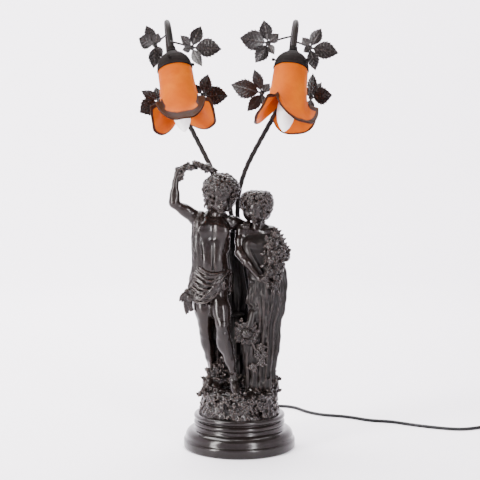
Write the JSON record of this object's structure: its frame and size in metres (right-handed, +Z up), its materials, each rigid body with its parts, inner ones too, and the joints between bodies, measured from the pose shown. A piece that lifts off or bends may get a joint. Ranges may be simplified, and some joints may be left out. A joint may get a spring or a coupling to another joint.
{
  "type": "figural table lamp",
  "caption": "Table lamp with a cast youth and girl on a turned plinth, rope-turned stems arching forward to bell caps, petal-lipped glass shades, leaf sprays and a coiled mains lead.",
  "frame": {"origin": "middle of the plinth's resting face, on the surface it stands on", "axes": "+Z up the lamp, -Y towards the viewer whom both shades face, +X to the viewer's right"},
  "size_m": [0.7974, 0.4464, 0.7571],
  "materials": {
    "bronze_patina": "satin, dark brown-black patina",
    "leaf_bronze": "satin, dark patina with pale rubbed edges",
    "felt": "matt felt",
    "iron": "as cast",
    "steel": "zinc plated",
    "raw_brass": "turned",
    "holder_plastic": "matt black",
    "wire_sheath": "matt",
    "cord_black": "satin black",
    "switch_plastic": "satin black",
    "pin_metal": "polished",
    "shade_glass": "frosted orange glass paste with violet-brown rim",
    "bulb_frosted": "frosted white",
    "bulb_cap_metal": "rolled thread"
  },
  "bodies": {
    "root": {"ballast": "iron", "base_felt": "felt", "bouquet": "bronze_patina", "cap_left": "bronze_patina", "cap_right": "bronze_patina", "casting_screws": "steel", "coil_tie": "cord_black", "cord": "cord_black", "cord_bush": "cord_black", "cord_coil": "cord_black", "cord_tail": "cord_black", "girl": "bronze_patina", "harness": "wire_sheath", "holder_nipples": "raw_brass", "lamp_pipe": "raw_brass", "lampholder_left": "holder_plastic", "lampholder_right": "holder_plastic", "lead_inside": "cord_black", "leaf_spray_left_lower_inner": "leaf_bronze", "leaf_spray_left_lower_outer": "leaf_bronze", "leaf_spray_left_upper_inner": "leaf_bronze", "leaf_spray_left_upper_outer": "leaf_bronze", "leaf_spray_right_lower_inner": "leaf_bronze", "leaf_spray_right_lower_outer": "leaf_bronze", "leaf_spray_right_upper_inner": "leaf_bronze", "leaf_spray_right_upper_outer": "leaf_bronze", "lock_nuts": "raw_brass", "mound": "bronze_patina", "pipe_nut": "steel", "plinth_shell": "bronze_patina", "plug_body": "switch_plastic", "plug_pins": "pin_metal", "shade_left": "shade_glass", "shade_right": "shade_glass", "stem_collar_left": "bronze_patina", "stem_collar_right": "bronze_patina", "stem_hub": "bronze_patina", "stem_left": "bronze_patina", "stem_right": "bronze_patina", "switch_base": "switch_plastic", "switch_cover": "switch_plastic", "switch_screws": "steel", "terminal_block": "holder_plastic", "tree_trunk": "bronze_patina", "vine_garland": "bronze_patina", "wires_left": "wire_sheath", "wires_right": "wire_sheath", "youth": "bronze_patina"},
    "thumb_screw_left_a": {"thumb_screw_left_a": "bronze_patina"},
    "thumb_screw_left_b": {"thumb_screw_left_b": "bronze_patina"},
    "thumb_screw_left_c": {"thumb_screw_left_c": "bronze_patina"},
    "thumb_screw_right_a": {"thumb_screw_right_a": "bronze_patina"},
    "thumb_screw_right_b": {"thumb_screw_right_b": "bronze_patina"},
    "thumb_screw_right_c": {"thumb_screw_right_c": "bronze_patina"},
    "bulb_left": {"bulb_glass_left": "bulb_frosted", "bulb_cap_left": "bulb_cap_metal"},
    "bulb_right": {"bulb_glass_right": "bulb_frosted", "bulb_cap_right": "bulb_cap_metal"},
    "rocker": {"switch_rocker": "switch_plastic"}
  },
  "joints": [
    {"name": "screw_left_a", "type": "hinge", "parent": "root", "child": "thumb_screw_left_a", "pos_m": [-0.11638, -0.06322, 0.6836], "axis": [-0.1957, -0.9261, 0.3225], "range_deg": [0, 1080]},
    {"name": "screw_left_b", "type": "hinge", "parent": "root", "child": "thumb_screw_left_b", "pos_m": [-0.09057, -0.03412, 0.67679], "axis": [0.9363, 0.3503, 0.0239], "range_deg": [0, 1080]},
    {"name": "screw_left_c", "type": "hinge", "parent": "root", "child": "thumb_screw_left_c", "pos_m": [-0.1288, -0.02898, 0.66835], "axis": [-0.7406, 0.5758, -0.3464], "range_deg": [0, 1080]},
    {"name": "screw_right_a", "type": "hinge", "parent": "root", "child": "thumb_screw_right_a", "pos_m": [0.06833, -0.04741, 0.6816], "axis": [-0.9459, -0.2404, 0.2178], "range_deg": [0, 1080]},
    {"name": "screw_right_b", "type": "hinge", "parent": "root", "child": "thumb_screw_right_b", "pos_m": [0.10665, -0.0569, 0.68051], "axis": [0.7346, -0.6569, 0.1698], "range_deg": [0, 1080]},
    {"name": "screw_right_c", "type": "hinge", "parent": "root", "child": "thumb_screw_right_c", "pos_m": [0.09472, -0.02147, 0.6678], "axis": [0.2113, 0.8973, -0.3876], "range_deg": [0, 1080]},
    {"name": "bulb_turn_left", "type": "hinge", "parent": "root", "child": "bulb_left", "pos_m": [-0.1102, -0.046, 0.6661], "axis": [0.156, -0.354, -0.9221], "range_deg": [0, 1080]},
    {"name": "bulb_turn_right", "type": "hinge", "parent": "root", "child": "bulb_right", "pos_m": [0.0886, -0.046, 0.6665], "axis": [-0.1181, -0.3702, -0.9214], "range_deg": [0, 1080]},
    {"name": "switch_rock", "type": "hinge", "parent": "root", "child": "rocker", "pos_m": [0.527, 0.1375, 0.0146], "axis": [0.0517, -0.9987, 0], "range_deg": [-14, 0]}
  ]
}
